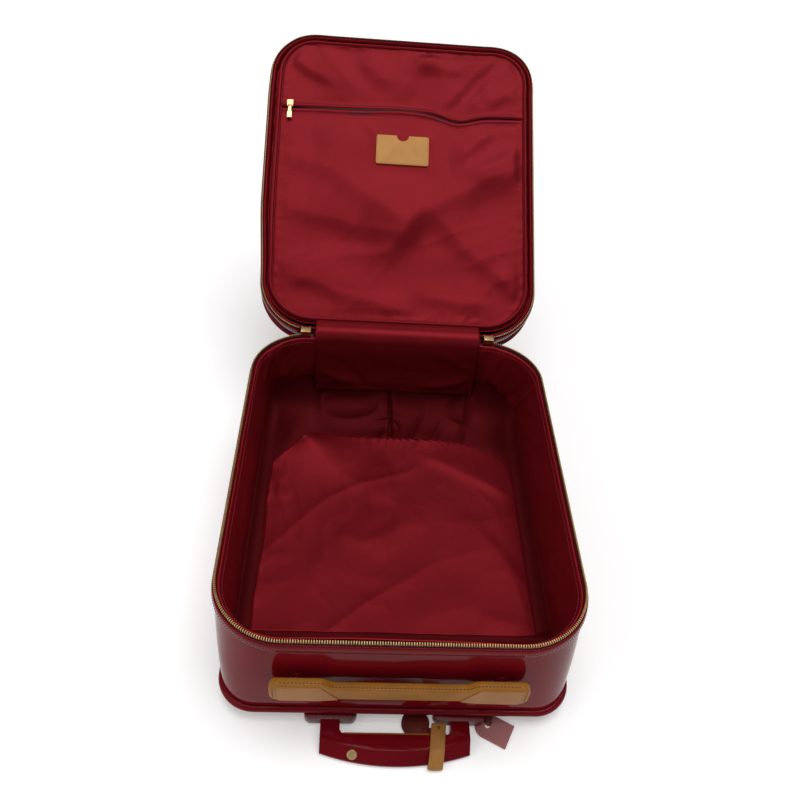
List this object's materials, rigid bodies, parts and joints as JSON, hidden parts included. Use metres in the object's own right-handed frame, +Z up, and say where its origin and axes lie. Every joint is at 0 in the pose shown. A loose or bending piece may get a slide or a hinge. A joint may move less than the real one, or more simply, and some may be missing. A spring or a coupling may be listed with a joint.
{
  "type": "trolley suitcase",
  "caption": "Patent-covered cabin trolley case lying open, with a hinged lid, satin lining, zip, leather carry handle, telescopic grip and wheels.",
  "frame": {"origin": "middle of the footprint of the open case, on the floor it lies on", "axes": "+Z up, +Y from the carry handle end towards the hinge and wheel end, +X across the case"},
  "size_m": [0.358, 0.8562, 0.3697],
  "materials": {
    "patent": "high-gloss dark red patent leather",
    "red_plastic": "gloss, dark red",
    "satin": "satin weave, red",
    "brass": "polished",
    "natural_leather": "smooth undyed hide",
    "tag_leather": "smooth, red-brown",
    "tube": "anodised satin",
    "steel": "brushed",
    "tyre": "matte black",
    "hub": "matte black"
  },
  "bodies": {
    "case": {"base_panel": "patent", "wall_band": "patent", "base_piping": "patent", "rim_binding": "patent", "body_zip": "brass", "wall_lining": "satin", "floor_lining": "satin", "hinge_strip": "satin", "rail_left": "red_plastic", "rail_right": "red_plastic", "rail_screws": "steel", "escutcheon_left": "red_plastic", "escutcheon_right": "red_plastic", "outer_tube_left": "tube", "outer_tube_right": "tube", "wheel_housing_left": "red_plastic", "wheel_housing_right": "red_plastic", "axle_left": "steel", "axle_right": "steel", "foot_left": "red_plastic", "foot_right": "red_plastic", "handle_posts": "brass", "slider_left": "brass", "slider_right": "brass", "tag_anchor": "brass"},
    "lid": {"lid_panel": "patent", "lid_wall": "patent", "lid_piping": "patent", "lid_binding": "patent", "lid_zip": "brass", "lid_lining": "satin", "lid_pocket_front": "satin", "lid_pocket_top": "satin", "pocket_zip_chain": "brass", "card_patch": "natural_leather"},
    "floor_flap": {"floor_flap": "satin"},
    "mid_tubes": {"mid_tube_left": "tube", "mid_tube_right": "tube"},
    "grip": {"inner_tube_left": "tube", "inner_tube_right": "tube", "grip": "patent", "grip_studs": "brass"},
    "release_bar": {"release_bar": "natural_leather"},
    "tags": {"tag_strap": "natural_leather", "round_tag": "tag_leather", "tag_tab": "natural_leather"},
    "name_tag": {"name_tag": "patent", "name_tag_strap": "natural_leather"},
    "carry_handle": {"carry_handle": "natural_leather"},
    "wheel_left": {"tyre_left": "tyre", "hub_left": "hub"},
    "wheel_right": {"tyre_right": "tyre", "hub_right": "hub"},
    "pull_left": {"pull_left": "brass"},
    "pull_right": {"pull_right": "brass"},
    "pocket_slider": {"pocket_slider": "brass"},
    "pocket_pull": {"pocket_pull": "brass"}
  },
  "joints": [
    {"name": "lid_hinge", "type": "hinge", "parent": "case", "child": "lid", "pos_m": [0, 0.05031, 0.134], "axis": [-1, 0, 0], "range_deg": [-146, 0]},
    {"name": "floor_flap_hinge", "type": "hinge", "parent": "case", "child": "floor_flap", "pos_m": [0, -0.29969, 0.0216], "axis": [1, 0, 0], "range_deg": [0, 75]},
    {"name": "trolley_lower_slide", "type": "slide", "parent": "case", "child": "mid_tubes", "axis": [0, -1, 0], "range_m": [0, 0.27]},
    {"name": "trolley_upper_slide", "type": "slide", "parent": "mid_tubes", "child": "grip", "axis": [0, -1, 0], "range_m": [0, 0.27]},
    {"name": "release_bar_squeeze", "type": "slide", "parent": "grip", "child": "release_bar", "axis": [0, -1, 0], "range_m": [0, 0.0018], "stiffness_N_per_m": 400, "springref_m": -0.0008},
    {"name": "tag_strap_slide", "type": "slide", "parent": "grip", "child": "tags", "axis": [-1, 0, 0], "range_m": [0, 0.045]},
    {"name": "name_tag_swing", "type": "hinge", "parent": "case", "child": "name_tag", "pos_m": [0.097, -0.31169, 0.0118], "axis": [0, 0, 1], "range_deg": [0, 35]},
    {"name": "carry_handle_lift", "type": "slide", "parent": "case", "child": "carry_handle", "axis": [0, -1, 0], "range_m": [0, 0.0038]},
    {"name": "wheel_left_spin", "type": "hinge", "parent": "case", "child": "wheel_left", "pos_m": [-0.129, 0.06031, 0.02], "axis": [1, 0, 0], "continuous": true},
    {"name": "wheel_right_spin", "type": "hinge", "parent": "case", "child": "wheel_right", "pos_m": [0.129, 0.06031, 0.02], "axis": [1, 0, 0], "continuous": true},
    {"name": "zip_pull_left_swing", "type": "hinge", "parent": "case", "child": "pull_left", "pos_m": [-0.115, 0.05581, 0.1345], "axis": [1, 0, 0], "range_deg": [0, 8]},
    {"name": "zip_pull_right_swing", "type": "hinge", "parent": "case", "child": "pull_right", "pos_m": [0.115, 0.05581, 0.1345], "axis": [1, 0, 0], "range_deg": [0, 8]},
    {"name": "pocket_zip_slide", "type": "slide", "parent": "lid", "child": "pocket_slider", "axis": [1, 0, 0], "range_m": [0, 0.29]},
    {"name": "pocket_pull_flip", "type": "hinge", "parent": "pocket_slider", "child": "pocket_pull", "pos_m": [-0.153, 0.31053, 0.30759], "axis": [-1, 0, 0], "range_deg": [0, 165]}
  ]
}
